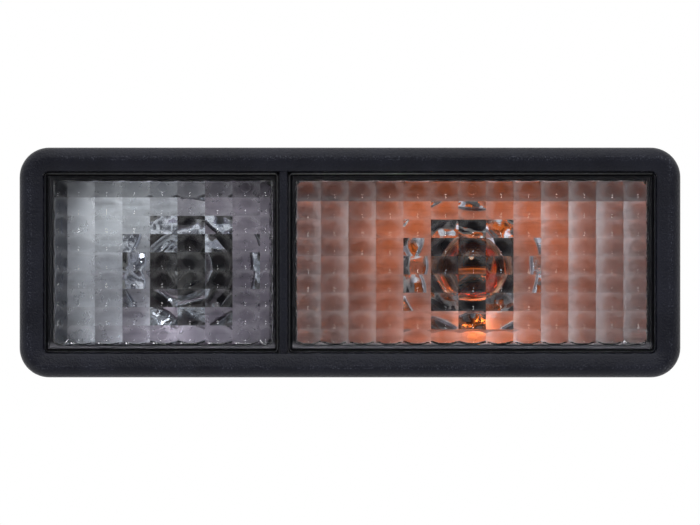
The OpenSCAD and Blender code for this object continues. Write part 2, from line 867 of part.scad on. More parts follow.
bezel();
reversing_lens();
indicator_lens();
lens_seal();
housing();
reversing_reflector();
indicator_reflector();
reversing_bulb_glass();
at_bulb(left_bulb_x) bulb_cap();  // reversing_bulb_cap
at_bulb(left_bulb_x) filament();  // reversing_filament
at_bulb(left_bulb_x) base_contact();  // reversing_base_contact
indicator_bulb_glass();
at_bulb(right_bulb_x) bulb_cap();  // indicator_bulb_cap
at_bulb(right_bulb_x) filament();  // indicator_filament
at_bulb(right_bulb_x) base_contact();  // indicator_base_contact
at_bulb(left_bulb_x) holder();  // reversing_holder
at_bulb(right_bulb_x) holder();  // indicator_holder
at_bulb(left_bulb_x) holder_seal();  // reversing_holder_seal
at_bulb(right_bulb_x) holder_seal();  // indicator_holder_seal
at_bulb(left_bulb_x) contacts();  // reversing_contacts
at_bulb(right_bulb_x) contacts();  // indicator_contacts
at_bulb(left_bulb_x) terminals();  // reversing_terminals
at_bulb(right_bulb_x) terminals();  // indicator_terminals
mounting_gasket();
fixing_studs();
vent_cap();
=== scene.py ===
import math

import bmesh
import bpy
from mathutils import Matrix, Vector, geometry


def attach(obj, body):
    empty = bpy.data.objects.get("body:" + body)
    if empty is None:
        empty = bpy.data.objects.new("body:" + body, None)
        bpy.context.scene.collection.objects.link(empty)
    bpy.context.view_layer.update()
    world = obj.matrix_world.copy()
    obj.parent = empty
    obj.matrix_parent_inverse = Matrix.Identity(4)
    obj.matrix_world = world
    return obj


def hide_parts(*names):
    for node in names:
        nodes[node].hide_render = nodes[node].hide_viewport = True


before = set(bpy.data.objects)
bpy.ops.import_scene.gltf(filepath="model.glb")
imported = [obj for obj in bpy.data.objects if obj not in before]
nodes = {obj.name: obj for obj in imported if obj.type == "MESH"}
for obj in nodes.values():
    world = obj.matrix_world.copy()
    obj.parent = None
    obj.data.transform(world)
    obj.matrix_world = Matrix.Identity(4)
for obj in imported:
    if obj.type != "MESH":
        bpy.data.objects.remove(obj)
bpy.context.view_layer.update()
print("frame loaded:", len(nodes), "nodes")

mm = 0.001
sides = ("reversing", "indicator")


# shader wiring

# a socket to reckon with: an expression on it adds its Math nodes
class Wire:
    def __init__(self, shader, socket):
        self.shader = shader
        self.socket = socket

    def mathNode(self, operation, *values):
        return self.shader.node("ShaderNodeMath", {"operation": operation}, dict(enumerate(values)))

    def __add__(self, other):
        return self.mathNode("ADD", self, other)

    def __radd__(self, other):
        return self.mathNode("ADD", other, self)

    def __sub__(self, other):
        return self.mathNode("SUBTRACT", self, other)

    def __rsub__(self, other):
        return self.mathNode("SUBTRACT", other, self)

    def __mul__(self, other):
        return self.mathNode("MULTIPLY", self, other)

    def __rmul__(self, other):
        return self.mathNode("MULTIPLY", other, self)

    def __neg__(self):
        return self.mathNode("MULTIPLY", self, -1.0)

    def atLeast(self, other):
        return self.mathNode("MAXIMUM", self, other)

    def atMost(self, other):
        return self.mathNode("MINIMUM", self, other)

    def size(self):
        return self.mathNode("ABSOLUTE", self)

    def root(self):
        return self.mathNode("SQRT", self)

    # 0 below low, 1 above high, smooth between
    def ramp(self, low, high):
        return self.shader.node("ShaderNodeMapRange", {"interpolation_type": "SMOOTHSTEP"},
                                {"Value": self, "From Min": low, "From Max": high}, "Result")


class Shader:
    def __init__(self, tree):
        self.tree = tree

    def plug(self, value, socket):
        if isinstance(value, Wire):
            self.tree.links.new(value.socket, socket)
        else:
            socket.default_value = value

    # any node: its type, its settings and its inputs; gives back one output
    def node(self, kind, settings=None, inputs=None, output=0):
        made = self.tree.nodes.new(kind)
        for name, value in (settings or {}).items():
            setattr(made, name, value)
        for name, value in (inputs or {}).items():
            self.plug(value, made.inputs[name])
        return Wire(self, made.outputs[output])

    def place(self):
        return self.node("ShaderNodeTexCoord", output="Object")

    def noise(self, vector, scale, detail, roughness):
        return self.node("ShaderNodeTexNoise", None,
                         {"Vector": vector, "Scale": scale, "Detail": detail, "Roughness": roughness})

    def stretched(self, vector, amounts):
        return self.node("ShaderNodeVectorMath", {"operation": "MULTIPLY"}, {0: vector, 1: amounts})

    def axes(self, vector):
        first = self.node("ShaderNodeSeparateXYZ", None, {0: vector})
        return [Wire(self, out) for out in first.socket.node.outputs]

    # inputs 6 and 7 and output 2 are a Mix node's colours
    def mixed(self, share, first, second):
        return self.node("ShaderNodeMix", {"data_type": "RGBA"}, {"Factor": share, 6: first, 7: second}, 2)

    def bump(self, height, distance):
        return self.node("ShaderNodeBump", None, {"Height": height, "Distance": distance, "Strength": 1.0})


def newMaterial(name):
    material = bpy.data.materials.new(name)
    material.use_nodes = True
    tree = material.node_tree
    return material, Shader(tree), tree.nodes["Principled BSDF"]


socketNames = {
    "color": "Base Color", "rough": "Roughness", "metal": "Metallic", "ior": "IOR", "normal": "Normal",
    "clear": "Transmission Weight", "coat": "Coat Weight", "coatRough": "Coat Roughness",
    "shine": "Specular IOR Level",
}


def setSockets(shader, surface, **values):
    for name, value in values.items():
        shader.plug(value, surface.inputs[socketNames[name]])


def rgb(r, g, b):
    return (r, g, b, 1.0)


# mesh building: every point is (x, z, out) in millimetres, out towards the viewer

weldReach = 0.001 * mm  # points nearer than this are joined


class Sheet:
    def __init__(self):
        self.points = []
        self.faces = []

    def add(self, x, z, out):
        self.points.append((x * mm, -out * mm, z * mm))
        return len(self.points) - 1

    # a face turned so that its normal agrees with the hint (x, z, out)
    def face(self, ids, hint):
        points = [Vector(self.points[i]) for i in ids]
        normal = Vector((0, 0, 0))
        for i, point in enumerate(points):
            normal += point.cross(points[(i + 1) % len(points)])
        towards = Vector((hint[0], -hint[2], hint[1]))
        self.faces.append(ids if normal.dot(towards) >= 0 else ids[::-1])

    def build(self, name, material, sharpAngle):
        mesh = bpy.data.meshes.new(name)
        mesh.from_pydata(self.points, [], self.faces)
        joined = bmesh.new()
        joined.from_mesh(mesh)
        bmesh.ops.remove_doubles(joined, verts=joined.verts, dist=weldReach)
        joined.to_mesh(mesh)
        joined.free()
        mesh.polygons.foreach_set("use_smooth", [True] * len(mesh.polygons))
        mesh.set_sharp_from_angle(angle=math.radians(sharpAngle))
        mesh.materials.append(material)
        mesh.update()
        piece = bpy.data.objects.new(name, mesh)
        bpy.context.scene.collection.objects.link(piece)
        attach(piece, "root")
        return piece


# points round a rounded rectangle, anticlockwise from the right-hand bottom corner
def roundedLoop(x0, x1, z0, z1, radius, steps):
    radius = max(radius, 0.01)
    points = []
    for cx, cz, start in ((x1 - radius, z0 + radius, -90), (x1 - radius, z1 - radius, 0),
                          (x0 + radius, z1 - radius, 90), (x0 + radius, z0 + radius, 180)):
        for i in range(steps + 1):
            a = math.radians(start + 90 * i / steps)
            points.append((cx + radius * math.cos(a), cz + radius * math.sin(a)))
    return points


# joins two rings of the same count; hintOf(midpoint) says which way is outwards
def joinRings(sheet, first, second, hintOf):
    count = len(first)
    for i in range(count):
        j = (i + 1) % count
        ids = [first[i], first[j], second[j], second[i]]
        mid = sum((Vector(sheet.points[k]) for k in ids), Vector()) / 4
        sheet.face(ids, hintOf(mid.x / mm, mid.z / mm, -mid.y / mm))


# sweeps a profile of (distance from corner centre, out) round a rounded rectangle
def sweptProfile(sheet, box, cornerRadius, profile, closed, steps):
    x0, x1, z0, z1 = box
    rings = []
    for radius, out in profile:
        grow = radius - cornerRadius
        loop = roundedLoop(x0 - grow, x1 + grow, z0 - grow, z1 + grow, radius, steps)
        rings.append([sheet.add(x, z, out) for x, z in loop])
    pairs = list(zip(range(len(rings) - 1), range(1, len(rings))))
    if closed:
        pairs.append((len(rings) - 1, 0))
    cx, cz = (x0 + x1) / 2, (z0 + z1) / 2
    halfX, halfZ = (x1 - x0) / 2 - cornerRadius, (z1 - z0) / 2 - cornerRadius
    for a, b in pairs:
        dr = profile[b][0] - profile[a][0]
        do = profile[b][1] - profile[a][1]
        nr, no = -do, dr  # the profile runs with the solid on its right

        def hintOf(x, z, out, nr=nr, no=no):
            px = x - cx
            pz = z - cz
            ox = px - max(-halfX, min(halfX, px))  # from the nearest corner centre
            oz = pz - max(-halfZ, min(halfZ, pz))
            length = math.hypot(ox, oz) or 1.0
            return (nr * ox / length, nr * oz / length, no)

        joinRings(sheet, rings[a], rings[b], hintOf)
    return rings


def arc(cx, cy, radius, start, end, steps):
    angles = [math.radians(start + (end - start) * i / steps) for i in range(steps + 1)]
    return [(cx + radius * math.cos(a), cy + radius * math.sin(a)) for a in angles]


# bezel

bezelLook = {
    "color": (0.006, 0.0066, 0.0122),
    "paleColor": (0.016, 0.0175, 0.029),
    "rough": 0.38,
    "roughSpread": 0.2,
    "patchRough": 0.1,
    "patchScale": 60.0,     # broad patches, waves per metre
    "shine": 0.2,
    "grainSize": 0.75,      # mm between grain pits
    "grainDepth": 0.26,     # mm
    # the speck colour is a painted highlight, the glints of the lamps on the grain
    "paintedGlint": (0.085, 0.09, 0.115),
    "glintSize": 0.5,       # mm
    "crest": (2.7, 3.5, 4.2, 5.2),  # mm from the outer edge, the band where glints are painted on the grain
}

bezelForm = {
    "width": 240.0, "height": 83.5, "corner": 10.8, "band": 8.7, "depth": 15.0,
    "roll": 4.2, "fall": 1.4, "wall": 2.4, "skin": 2.6, "lipWall": 2.2, "lipFoot": 6.7,
    "lipRadius": 0.5,
    "lipEdge": ((1.0, 0.3), (0.35, -0.1), (0.0, -0.6)),     # shares of the radius, in and out
    "barMiddle": -24.15, "barWidth": 2.9, "barDrop": 0.5, "barTuck": 0.3,
    "barRight": ((0.0, 0.6), (0.15, 0.25), (0.5, 0.0)),     # in from the side, down from the top
    "barLeft": ((1.0, 0.0), (0.45, 0.2), (0.0, 0.8)),
}


def makeBezelMaterial(look):
    material, shader, surface = newMaterial("bezelGrain")
    place = shader.place()
    scale = 1.0 / (look["grainSize"] * mm)
    pits = shader.node("ShaderNodeTexVoronoi", {"feature": "SMOOTH_F1"}, {"Vector": place, "Scale": scale})
    fine = shader.noise(place, scale * 1.6, 3.0, 0.6)
    height = pits * 0.6 + fine * 0.7
    broad = shader.noise(place, look["patchScale"], 3.0, 0.55)
    share = broad.ramp(0.35, 0.75) * 0.5 + fine.ramp(0.55, 0.75) * 0.5
    color = shader.mixed(share, rgb(*look["color"]), rgb(*look["paleColor"]))
    # painted highlight: bright glint specks painted along the crest of the rolled edge
    x, y, z = shader.axes(place)
    inside = (bezelForm["width"] / 2 * mm - x.size()).atMost(bezelForm["height"] / 2 * mm - z.size())
    start, full, fall, end = look["crest"]
    crest = inside.ramp(start * mm, full * mm) * (1.0 - inside.ramp(fall * mm, end * mm))
    glints = shader.noise(place, 1.0 / (look["glintSize"] * mm), 2.0, 0.7).ramp(0.55, 0.7)
    color = shader.mixed(crest * glints * broad.ramp(0.3, 0.55), color, rgb(*look["paintedGlint"]))
    rough = look["rough"] + (fine - 0.5) * look["roughSpread"] + (broad - 0.5) * look["patchRough"]
    setSockets(shader, surface, color=color, rough=rough, shine=look["shine"],
               normal=shader.bump(height, look["grainDepth"] * mm))
    return material


def makeBezelFrame(form, material):
    sheet = Sheet()
    corner, depth, roll = form["corner"], form["depth"], form["roll"]
    lip = corner - form["band"]
    window = depth - form["fall"]
    soft = form["lipRadius"]
    lipBack, wallFace = lip + form["lipWall"], corner - form["wall"]
    profile = [(corner, 0.0)]
    profile += arc(corner - roll, depth - roll, roll, 0, 90, 14)
    profile += [(lip + soft * across, window + soft * out) for across, out in form["lipEdge"]]
    profile += [(lip, form["lipFoot"]), (lipBack, form["lipFoot"]), (lipBack, depth - form["skin"]),
                (wallFace, depth - form["skin"]), (wallFace, 0.0)]
    halfWidth, halfHeight = form["width"] / 2, form["height"] / 2
    box = (-halfWidth, halfWidth, -halfHeight, halfHeight)
    sweptProfile(sheet, box, corner, profile[::-1], True, 16)
    piece = sheet.build("bezelFrame", material, 35.0)
    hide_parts("bezel")


# the bar between the lenses
def makeBezelBar(form, material):
    bar = Sheet()
    half, foot, middle = form["barWidth"] / 2, form["lipFoot"], form["barMiddle"]
    top = form["depth"] - form["fall"] - form["barDrop"]
    outline = [(-half, foot), (half, foot)]
    outline += [(half - across, top - down) for across, down in form["barRight"]]
    outline += [(across - half, top - down) for across, down in form["barLeft"]]
    end = form["height"] / 2 - form["band"] + form["barTuck"]
    low, high = [[bar.add(middle + x, z, out) for x, out in outline] for z in (-end, end)]
    joinRings(bar, low, high, lambda x, z, out: (x - middle, 0, out - (foot + top) / 2))
    bar.face(low, (0, -1, 0))
    bar.face(high, (0, 1, 0))
    piece = bar.build("bezelBar", material, 35.0)


bezelMaterial = makeBezelMaterial(bezelLook)
makeBezelFrame(bezelForm, bezelMaterial)
makeBezelBar(bezelForm, bezelMaterial)
print("bezel done")


# lenses

lensLook = {
    "tint": (0.985, 0.992, 1.0),
    "ior": 1.49,
    "coat": 0.1,
    "edgeRough": 0.45,      # the rounded edge is as the tool left it, the faces are polished
    "edgeBlur": 0.1,        # mm
    "pins": [(-68.1, 27.4), (-37.9, 27.4), (-68.1, -26.6), (-37.9, -26.6), (44.4, 26.4), (44.4, -27.0),
             (94.6, 26.4), (94.6, -27.0), (-5.6, 26.4), (-5.6, -27.0)],  # x and z of the ejector pins, mm
    "pinRadius": 1.8,
    "pinBlur": 0.1,         # mm
    "pinDepth": 0.05,       # mm
    "waveDepth": 0.001,     # mm, faint tool waves
}

lensForm = {
    "gap": 0.25, "sink": 1.2, "thick": 2.4, "skirt": 1.4, "edge": 0.8, "foot": 4.0,
    "pitchX": 10.0, "pitchZ": 6.65, "pillowRadiusX": 14.0, "pillowRadiusZ": 14.0, "rise": 1.3,
    "halfField": 29.9,
    "leastPillow": 1.0,     # mm, a narrower strip at the border is joined to its neighbour
    "edgeFall": 0.7,        # mm over which the outermost pillows fall to the plate
    "steps": 16,            # divisions of a pillow each way
    "edgeSteps": (0.02, 0.08, 0.18, 0.32, 0.5, 0.72, 1.0, 1.3),  # mm, closer lines along the field's border
    "leastStep": 0.015,     # mm
    "reversing": {"left": 3.3, "right": 2.2, "column": -102.7, "row": -22.9,
                  "scallop": {"left": 0.15, "right": 0.5, "bottom": 1.2, "top": 0.3}},
    "indicator": {"left": 2.8, "right": 2.9, "column": -10.6, "row": -24.3,
                  "scallop": {"left": 0.3, "right": 0.5, "bottom": 1.2, "top": 0.3}},
}

glassHalf = bezelForm["height"] / 2 - bezelForm["band"] - lensForm["gap"]


# left and right end of a lens
def glassEnds(side):
    edge = bezelForm["width"] / 2 - bezelForm["band"] - lensForm["gap"]
    bar = bezelForm["barWidth"] / 2 + lensForm["gap"]
    if side == "reversing":
        return -edge, bezelForm["barMiddle"] - bar
    return bezelForm["barMiddle"] + bar, edge


# left and right end of a lens's field of pillows
def fieldEnds(side):
    x0, x1 = glassEnds(side)
    return x0 + lensForm[side]["left"], x1 - lensForm[side]["right"]


def makeLensMaterial(look):
    material, shader, surface = newMaterial("lensAcrylic")
    place = shader.place()
    waves = shader.noise(shader.stretched(place, (120.0, 120.0, 700.0)), 1.0, 2.0, 0.5)
    x, y, z = shader.axes(place)
    away = glassHalf * mm - z.size()
    for side in sides:
        for end in glassEnds(side):
            away = away.atMost((x - end * mm).size())
    blur = look["edgeBlur"] * mm
    unpolished = (lensForm["edge"] * mm - away).ramp(-blur, blur) * look["edgeRough"]
    height = waves * (look["waveDepth"] * mm)
    inner, outer = (look["pinRadius"] - look["pinBlur"]) * mm, (look["pinRadius"] + look["pinBlur"]) * mm
    for pinX, pinZ in look["pins"]:
        across, up = x - pinX * mm, z - pinZ * mm
        toPin = (across * across + up * up).root()
        height = height + toPin.ramp(inner, outer) * (look["pinDepth"] * mm)
    setSockets(shader, surface, color=rgb(*look["tint"]), rough=unpolished, ior=look["ior"], clear=1.0,
               coat=look["coat"], coatRough=0.0, normal=shader.bump(height, 1.0))
    return material


def gridLines(low, high, first, pitch):
    least = lensForm["leastPillow"]
    lines = [low]
    line = first
    while line < high - least:
        if line > low + least:
            lines.append(line)
        line += pitch
    return lines + [high]


def cellSteps(low, high, denseLow, denseHigh):
    steps = lensForm["steps"]
    values = {round(low + (high - low) * i / steps, 6) for i in range(steps + 1)}
    if denseLow:
        values |= {round(low + step, 6) for step in lensForm["edgeSteps"]}
    if denseHigh:
        values |= {round(high - step, 6) for step in lensForm["edgeSteps"]}
    ordered = sorted(values)
    kept = [ordered[0]]
    for value in ordered[1:-1]:
        if value - kept[-1] > lensForm["leastStep"]:
            kept.append(value)
    return kept + [ordered[-1]]


# rounded fall of the outermost pillows to the plate
def edgeFade(distance):
    t = max(0.0, min(1.0, distance / lensForm["edgeFall"]))
    return math.sqrt(max(0.0, 1 - (1 - t) ** 2))


# one pillow on the cell x0, x1, z0, z1; borders says which of its sides end the field
def addPillow(sheet, cell, borders, scallop, back):
    x0, x1, z0, z1 = cell
    halfX, halfZ = (x1 - x0) / 2, (z1 - z0) / 2
    middleX, middleZ = (x0 + x1) / 2, (z0 + z1) / 2
    radiusX, radiusZ = lensForm["pillowRadiusX"], lensForm["pillowRadiusZ"]
    left, right, bottom, top = borders
    grid = []
    for x in cellSteps(x0, x1, left, right):
        line = []
        for z in cellSteps(z0, z1, bottom, top):
            u, v = x - middleX, z - middleZ
            tube = radiusX - radiusZ + math.sqrt(radiusZ ** 2 - v * v)
            height = lensForm["rise"] - radiusX + math.sqrt(tube * tube - u * u)
            across, up = abs(u) / halfX, abs(v) / halfZ
            toBorders = (x - x0 - scallop["left"] * up * up,
                         x1 - x - scallop["right"] * up * up,
                         z - z0 - scallop["bottom"] * across * across,
                         z1 - z - scallop["top"] * across * across)
            near = [distance for distance, ends in zip(toBorders, borders) if ends]
            fade = edgeFade(min(near)) if near else 1.0
            line.append(sheet.add(x, z, back - max(0.0, height) * fade))
        grid.append(line)
    for first, second in zip(grid, grid[1:]):
        for j in range(len(first) - 1):
            sheet.face([first[j], second[j], second[j + 1], first[j + 1]], (0, 0, -1))


def makeLens(side, form, material):
    own = form[side]
    front = bezelForm["depth"] - bezelForm["fall"] - form["sink"]
    back = front - form["thick"]
    corner = bezelForm["corner"] - bezelForm["band"] - form["gap"]
    edge, foot = form["edge"], form["foot"]
    x0, x1 = glassEnds(side)
    sheet = Sheet()
    inside = corner - form["skirt"]
    profile = [(inside, back), (inside, foot), (corner, foot), (corner, front - edge)]
    profile += arc(corner - edge, front - edge, edge, 0, 90, 8)[1:]
    rings = sweptProfile(sheet, (x0, x1, -glassHalf, glassHalf), corner, profile, False, 10)
    sheet.face(rings[-1], (0, 0, 1))
    # the back of the plate outside the pillow field
    f0, f1 = fieldEnds(side)
    half = form["halfField"]
    outer = rings[0]
    inner = [sheet.add(x, z, back) for x, z in ((f0, -half), (f1, -half), (f1, half), (f0, half))]
    ids = outer + inner
    flat = {i: Vector((sheet.points[i][0], sheet.points[i][2], 0)) for i in ids}
    polygons = [[flat[i] for i in ring] for ring in (outer, inner)]
    for triangle in geometry.tessellate_polygon(polygons):
        sheet.face([ids[i] for i in triangle], (0, 0, -1))
    columns = gridLines(f0, f1, own["column"], form["pitchX"])
    rows = gridLines(-half, half, own["row"], form["pitchZ"])
    for c in range(len(columns) - 1):
        for r in range(len(rows) - 1):
            cell = (columns[c], columns[c + 1], rows[r], rows[r + 1])
            borders = (c == 0, c == len(columns) - 2, r == 0, r == len(rows) - 2)
            addPillow(sheet, cell, borders, own["scallop"], back)
    piece = sheet.build(side + "Lens", material, 12.0)
    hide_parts(side + "_lens")


lensMaterial = makeLensMaterial(lensLook)
for side in sides:
    makeLens(side, lensForm, lensMaterial)
print("lenses done")


# reflectors

bulbPlace = {"reversing": -62.0, "indicator": 45.0, "z": -2.0}  # mm, also the middles of the dishes

mirrorLook = {
    # each side's dull colour is painted shade, darker towards the right and the foot of its chamber
    "reversing": {"bright": (0.9, 0.94, 1.0), "paintedShade": (0.37, 0.33, 0.39), "rough": 0.25, "matte": 0.1},
    "indicator": {"bright": (1.0, 0.96, 0.97), "paintedShade": (1.0, 0.93, 0.95), "rough": 0.27, "matte": 0.2},
    "roughSpread": 0.06,
    "shadeFrom": 0.2,        # shares of the width between which the coat takes on the painted shade
    "shadeTo": 0.6,
    "shadeLean": 0.2,        # how much sooner at the top, in shares of the width
    "shadeHeight": 30.0,     # mm
    "topShade": 0.42,           # how much of the coat's colour is left along the top edge under the painted shade
    "topShadeFrom": 21.5,       # mm above the middle
    "topShadeTo": 25.0,
    "streak": 0.2,          # how much the long streaks darken the coat
    "streakDepth": 0.06,    # mm, long streaks from the polish of the tool
    "fleck": 0.4,           # how much fine flecks darken it
    "waveDepth": 0.02,      # mm
    "waveSize": 9.0,        # mm
    "funnel": (0.76, 0.8, 0.88),
    "bare": (0.88, 0.9, 0.96),      # where the funnel took no coat
    # the soot colour is painted shade at the foot of the funnel
    "footShadeColor": (0.01, 0.01, 0.012),
    "footShade": 0.62,           # how much painted shade darkens the foot of the funnel
    "footShadeFrom": 7.0,        # mm below the bulb's axis
    "footShadeTo": 15.0,
    "funnelRough": 0.08,
    "funnelWave": 2.0,      # mm, uneven face of the funnel
    "funnelWaveSize": 5.0,  # mm
    "ragged": 3.0,          # mm, how uneven the borders of the painted shade along the top edge and at the foot of the funnel are
}

mirrorForm = {
    "focal": 32.0, "filament": 6.0, "hole": 15.0, "funnelWidth": 6.4, "funnelDepth": 3.2,
    "floor": -41.0, "inset": 3.6, "corner": 2.0, "mouth": 7.3, "steps": 30, "borderStep": 2.0,
}


def makeMirrorMaterial(side, look):
    material, shader, surface = newMaterial(side + "ReflectorCoat")
    tints = look[side]
    place = shader.place()
    x, y, z = shader.axes(place)
    waves = shader.noise(place, 1.0 / (look["waveSize"] * mm), 3.0, 0.45)
    fine = shader.noise(place, 900.0, 3.0, 0.6)
    ragged = (waves - 0.5) * (look["ragged"] * mm)
    # 0 on the funnel, 1 on the dish
    across, up = x - bulbPlace[side] * mm, z - bulbPlace["z"] * mm
    edge = (mirrorForm["hole"] + mirrorForm["funnelWidth"]) * mm
    dish = (across * across + up * up).root().ramp(edge - 0.2 * mm, edge + 0.6 * mm)
    rough = look["funnelRough"] + dish * (tints["rough"] - look["funnelRough"]) + fine * look["roughSpread"]
    # painted shade: the coating is darker towards the right and the foot, and darker along the top edge
    x0, x1 = glassEnds(side)
    lean = look["shadeLean"] / (look["shadeHeight"] * mm)
    along = (x - x0 * mm) * (1.0 / ((x1 - x0) * mm)) - z * lean + (waves - 0.5) * 0.2
    shadeShare = along.ramp(look["shadeFrom"], look["shadeTo"])
    paintedShade = shader.mixed(shadeShare, rgb(*tints["bright"]), rgb(*tints["paintedShade"]))
    # painted shade along the top edge, with a ragged border
    topShade = (z + ragged).ramp(look["topShadeFrom"] * mm, look["topShadeTo"] * mm) * (1.0 - look["topShade"])
    streaks = shader.noise(shader.stretched(place, (60.0, 60.0, 800.0)), 1.0, 3.0, 0.55)
    marks = streaks.ramp(0.42, 0.68) * look["streak"] + (fine - 0.5).atLeast(0.0) * look["fleck"]
    coat = shader.mixed(topShade + (1.0 - topShade) * marks, paintedShade, rgb(0.0, 0.0, 0.0))
    # the funnel has bare spots, and painted shade darkens its foot
    spots = shader.noise(place, 260.0, 1.0, 0.4).ramp(0.5, 0.56) * (1.0 - dish) * tints["matte"]
    footShade = (ragged - up).ramp(look["footShadeFrom"] * mm, look["footShadeTo"] * mm) * look["footShade"]
    funnel = shader.mixed(spots, rgb(*look["funnel"]), rgb(*look["bare"]))
    color = shader.mixed(dish, shader.mixed(footShade, funnel, rgb(*look["footShadeColor"])), coat)
    ripples = shader.noise(place, 1.0 / (look["funnelWaveSize"] * mm), 1.0, 0.4)
    height = waves * (look["waveDepth"] * mm) + streaks * (look["streakDepth"] * mm)
    height = height + ripples * (1.0 - dish) * (look["funnelWave"] * mm)
    setSockets(shader, surface, color=color, rough=rough, metal=1.0 - spots, normal=shader.bump(height, 1.0))
    return material


# the dish's outline as seen from the front, with its long straight runs divided
def dishBorder(x0, x1, half, form):
    border = []
    loop = roundedLoop(x0, x1, -half, half, form["corner"], 8)
    for i, (x, z) in enumerate(loop):
        nextX, nextZ = loop[(i + 1) % len(loop)]
        parts = max(1, int(math.hypot(nextX - x, nextZ - z) / form["borderStep"]))
        border += [(x + (nextX - x) * k / parts, z + (nextZ - z) * k / parts) for k in range(parts)]
    return border


def makeReflector(side, form, material):
    sheet = Sheet()
    half = glassHalf - form["inset"]
    x0, x1 = glassEnds(side)
    m0, m1 = x0 + form["inset"], x1 - form["inset"]
    bulbX, bulbZ = bulbPlace[side], bulbPlace["z"]
    hole, edge = form["hole"], form["hole"] + form["funnelWidth"]

    def dish(x, z):
        reach = (x - bulbX) ** 2 + (z - bulbZ) ** 2
        return -form["filament"] - form["focal"] + reach / (4 * form["focal"])

    border = dishBorder(m0, m1, half, form)
    rings = []
    for step in range(form["steps"] + 1):
        ring = []
        for x, z in border:
            reach = math.hypot(x - bulbX, z - bulbZ)
            radius = edge + (reach - edge) * step / form["steps"]
            px, pz = bulbX + (x - bulbX) / reach * radius, bulbZ + (z - bulbZ) / reach * radius
            ring.append(sheet.add(px, pz, dish(px, pz)))
        rings.append(ring)
    for a, b in zip(rings, rings[1:]):
        joinRings(sheet, a, b, lambda x, z, out: (0, 0, 1))
    # side walls up to the mouth
    middle = (m0 + m1) / 2
    wall = rings[-1]
    for level in (0.5, 1.0):
        ring = [sheet.add(x, z, dish(x, z) + (form["mouth"] - dish(x, z)) * level) for x, z in border]
        joinRings(sheet, wall, ring, lambda x, z, out: (middle - x, -z, 0))
        wall = ring
    # the funnel down to the bulb opening, and the ring that stands on the housing's floor
    funnelFoot = dish(bulbX + edge, bulbZ) - form["funnelDepth"]
    turns = [math.atan2(z - bulbZ, x - bulbX) for x, z in border]
    inner = rings[0]
    for out in (funnelFoot, form["floor"]):
        ring = [sheet.add(bulbX + hole * math.cos(a), bulbZ + hole * math.sin(a), out) for a in turns]
        joinRings(sheet, inner, ring, lambda x, z, out: (bulbX - x, bulbZ - z, 0))
        inner = ring
    # the rim round the field of pillows
    f0, f1 = fieldEnds(side)
    field = lensForm["halfField"]
    near = 0.05  # mm
    ring = []
    for x, z in border:
        px = f0 if abs(x - m0) < near else f1 if abs(x - m1) < near else x
        pz = field if abs(z - half) < near else -field if abs(z + half) < near else z
        ring.append(sheet.add(px, pz, form["mouth"]))
    joinRings(sheet, wall, ring, lambda x, z, out: (0, 0, 1))
    piece = sheet.build(side + "Reflector", material, 28.0)
    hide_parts(side + "_reflector")


for side in sides:
    makeReflector(side, mirrorForm, makeMirrorMaterial(side, mirrorLook))
print("reflectors done")


# bulbs

bulbLook = {
    "clearTint": (0.97, 0.98, 0.98),
    "amberTint": (1.0, 0.45, 0.16),
    "ior": 1.3,
    "waveDepth": 0.01,      # mm
}

bulbForm = {
    "glass": 12.5, "wall": 0.6, "neck": 6.9, "neckOut": -28.8, "shoulder": 4.0, "foot": -32.8,
    "filament": -6.0, "footTop": 19.5, "around": 72, "turnEnd": 116, "turnStep": 5, "neckSteps": 10,
}


def makeGlassMaterial(name, tint, look):
    material, shader, surface = newMaterial(name)
    place = shader.place()
    waves = shader.noise(shader.stretched(place, (150.0, 90.0, 150.0)), 1.0, 2.0, 0.5)
    setSockets(shader, surface, color=rgb(*tint), rough=0.0, ior=look["ior"], clear=1.0,
               normal=shader.bump(waves, look["waveDepth"] * mm))
    return material


# outline of the blown glass as (radius, out), from the tip to the foot
def glassOutline(form, shrink):
    big, neck = form["glass"] - shrink, form["neck"] - shrink
    points = [(big * math.sin(math.radians(a)), form["filament"] + big * math.cos(math.radians(a)))
              for a in range(0, form["turnEnd"], form["turnStep"])]
    r0, out0 = points[-1]
    out1 = form["neckOut"] + form["shoulder"]
    for i in range(1, form["neckSteps"] + 1):
        t = i / form["neckSteps"]
        blend = t * t * (3 - 2 * t)
        points.append((r0 + (neck - r0) * (0.35 * t + 0.65 * blend), out0 + (out1 - out0) * t))
    return points + [(neck, form["neckOut"]), (neck, form["foot"] + shrink)]


def makeBulb(side, form, material):
    sheet = Sheet()
    middleX, middleZ = bulbPlace[side], bulbPlace["z"]
    around = form["around"]
    turns = [2 * math.pi * k / around for k in range(around)]
    circle = [(math.cos(a), math.sin(a)) for a in turns]
    for shrink, facing in ((0.0, 1), (form["wall"], -1)):
        rings = []
        for radius, out in glassOutline(form, shrink):
            spots = circle if radius > 1e-4 else [(0.0, 0.0)]
            rings.append([sheet.add(middleX + radius * c, middleZ + radius * s, out) for c, s in spots])
        for a, b in zip(rings, rings[1:]):
            for k in range(around):
                n = (k + 1) % around
                ids = [a[0], b[k], b[n]] if len(a) == 1 else [a[k], a[n], b[n], b[k]]
                mid = sum((Vector(sheet.points[i]) for i in ids), Vector()) / len(ids)
                dx, dz, out = mid.x / mm - middleX, mid.z / mm - middleZ, -mid.y / mm - form["filament"]
                out = out if out > 0 else out * 0.1
                sheet.face(ids, (dx * facing, dz * facing, out * facing))
        sheet.face(rings[-1], (0, 0, -facing))
    piece = sheet.build(side + "Bulb", material, 50.0)
    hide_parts(side + "_bulb_glass")


clearGlass = makeGlassMaterial("bulbClear", bulbLook["clearTint"], bulbLook)
amberGlass = makeGlassMaterial("bulbAmber", bulbLook["amberTint"], bulbLook)
makeBulb("reversing", bulbForm, clearGlass)
makeBulb("indicator", bulbForm, amberGlass)
print("bulbs done")


# plain parts keep their shapes and get a finish

